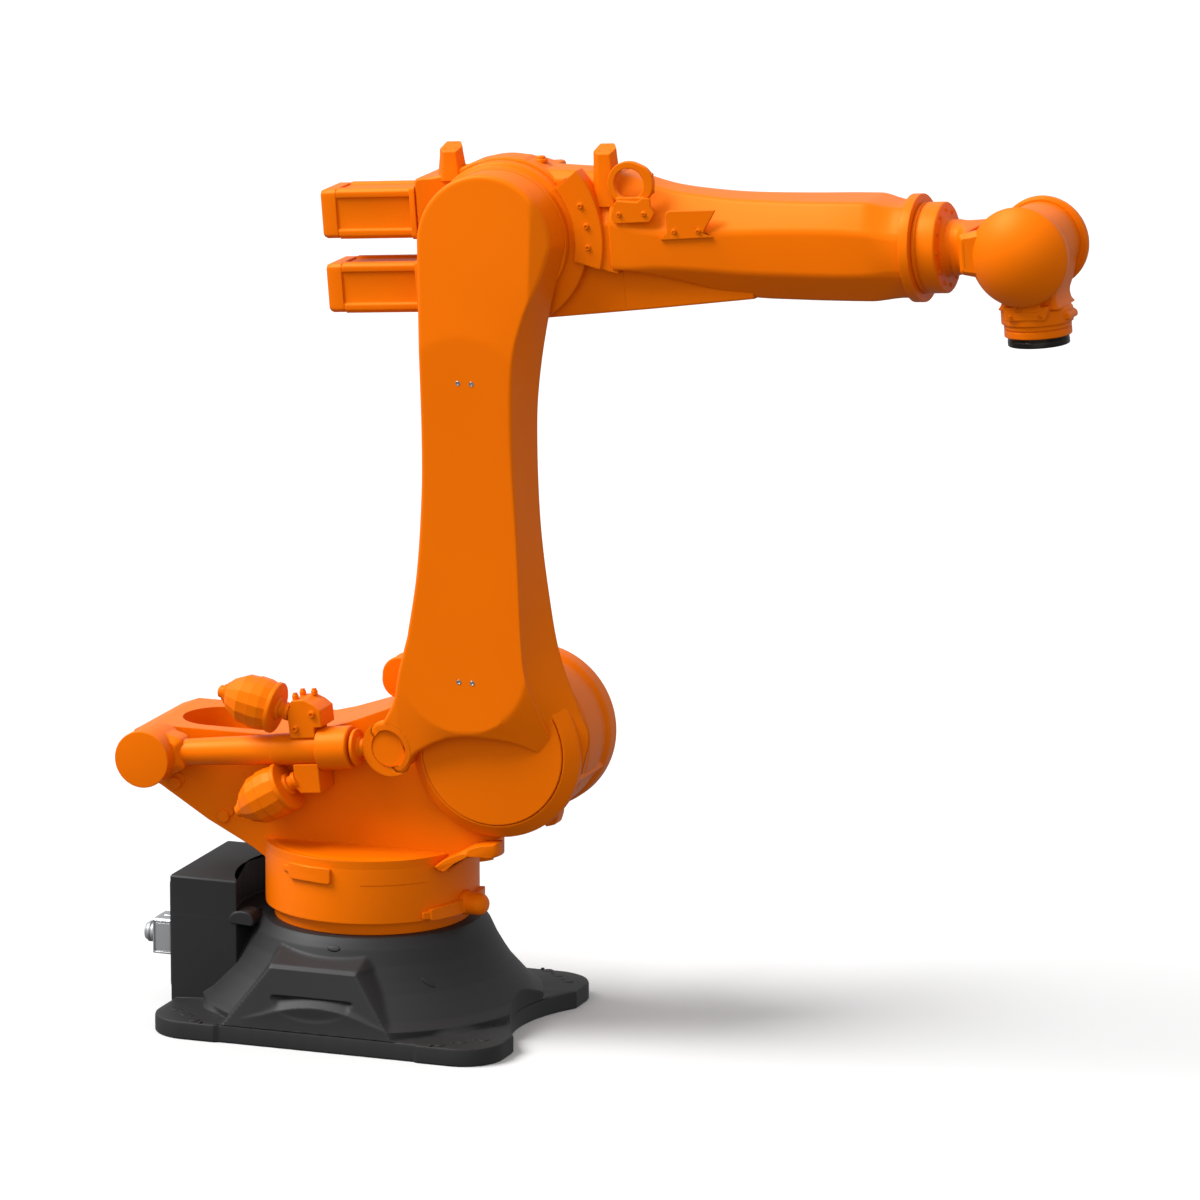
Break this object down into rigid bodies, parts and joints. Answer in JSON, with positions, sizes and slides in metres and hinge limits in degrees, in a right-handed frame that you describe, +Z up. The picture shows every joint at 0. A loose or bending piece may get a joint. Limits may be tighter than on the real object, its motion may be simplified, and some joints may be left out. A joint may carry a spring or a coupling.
{
  "type": "six-axis industrial robot arm",
  "caption": "Floor-mounted industrial robot arm with a turning column, link arm, forearm, wrist, tool flange and a gas-sprung balancer at the side.",
  "frame": {"origin": "on the turning axis of the column, at the floor under the base", "axes": "+Z up along the turning axis, +X forward along the arm at rest, +Y to the far side, where the motors are"},
  "size_m": [2.2061, 0.714, 2.0335],
  "materials": {
    "orange_paint": "satin orange machine paint",
    "dark_casting": "satin near-black paint on a casting",
    "connector_metal": "satin die-cast aluminium",
    "steel": "machined steel",
    "black_steel": "blackened steel"
  },
  "bodies": {
    "base": {"base_casting": "dark_casting", "box_cover": "dark_casting", "connector_housing": "connector_metal", "connector_gland": "connector_metal"},
    "column": {"column_casting": "orange_paint", "side_cover": "orange_paint", "stop_nose": "orange_paint", "shoulder_motor": "orange_paint", "turning_motor": "orange_paint", "shoulder_reducer": "orange_paint", "pivot_pin": "steel"},
    "link_arm": {"link_arm": "orange_paint", "hub_cover": "orange_paint", "pin_cap": "orange_paint", "elbow_dome": "orange_paint"},
    "balancer": {"balancer_drum": "orange_paint", "balancer_tube": "orange_paint", "balancer_collar": "orange_paint", "balancer_rod": "orange_paint", "valve_block": "orange_paint", "upper_accumulator": "orange_paint", "lower_accumulator": "orange_paint"},
    "forearm": {"elbow_reducer": "orange_paint", "arm_housing": "orange_paint", "wrist_motor_upper": "orange_paint", "wrist_motor_lower": "orange_paint", "elbow_motor": "orange_paint", "forearm": "orange_paint", "forearm_collar": "orange_paint", "lifting_block_rear": "orange_paint", "lifting_block_front": "orange_paint", "side_plate": "orange_paint", "hose_ring": "orange_paint", "cable_bracket": "orange_paint"},
    "wrist": {"wrist_tube": "orange_paint", "wrist_near_cheek": "orange_paint", "wrist_dome": "orange_paint", "wrist_far_cheek": "orange_paint", "wrist_far_cover": "orange_paint"},
    "swivel": {"swivel_housing": "orange_paint", "swivel_ring": "orange_paint", "swivel_plate": "orange_paint"},
    "tool_flange": {"flange": "black_steel"}
  },
  "joints": [
    {"name": "axis_1", "type": "hinge", "parent": "base", "child": "column", "pos_m": [0, 0, 0.242], "axis": [0, 0, 1], "range_deg": [-185, 185]},
    {"name": "axis_2", "type": "hinge", "parent": "column", "child": "link_arm", "pos_m": [0.35, -0.1, 0.675], "axis": [0, 1, 0], "range_deg": [-50, 85]},
    {"name": "balancer_pivot", "type": "hinge", "parent": "column", "child": "balancer", "pos_m": [-0.469, -0.153, 0.604], "axis": [0, 1, 0], "range_deg": [-22, 13]},
    {"name": "axis_3", "type": "hinge", "parent": "link_arm", "child": "forearm", "pos_m": [0.35, -0.1, 1.825], "axis": [0, -1, 0], "range_deg": [-65, 210]},
    {"name": "axis_4", "type": "hinge", "parent": "forearm", "child": "wrist", "pos_m": [1.30391, 0, 1.85092], "axis": [0.9969, 0, 0.0785], "range_deg": [-350, 350]},
    {"name": "axis_5", "type": "hinge", "parent": "wrist", "child": "swivel", "pos_m": [1.55015, 0, 1.8703], "axis": [0, 1, 0], "range_deg": [-215, 35]},
    {"name": "axis_6", "type": "hinge", "parent": "swivel", "child": "tool_flange", "pos_m": [1.56474, 0, 1.68487], "axis": [0.0785, 0, -0.9969], "range_deg": [-350, 350]}
  ],
  "couplings": [
    {"joint": "balancer_pivot", "follows": "axis_2", "ratio": -0.25}
  ]
}
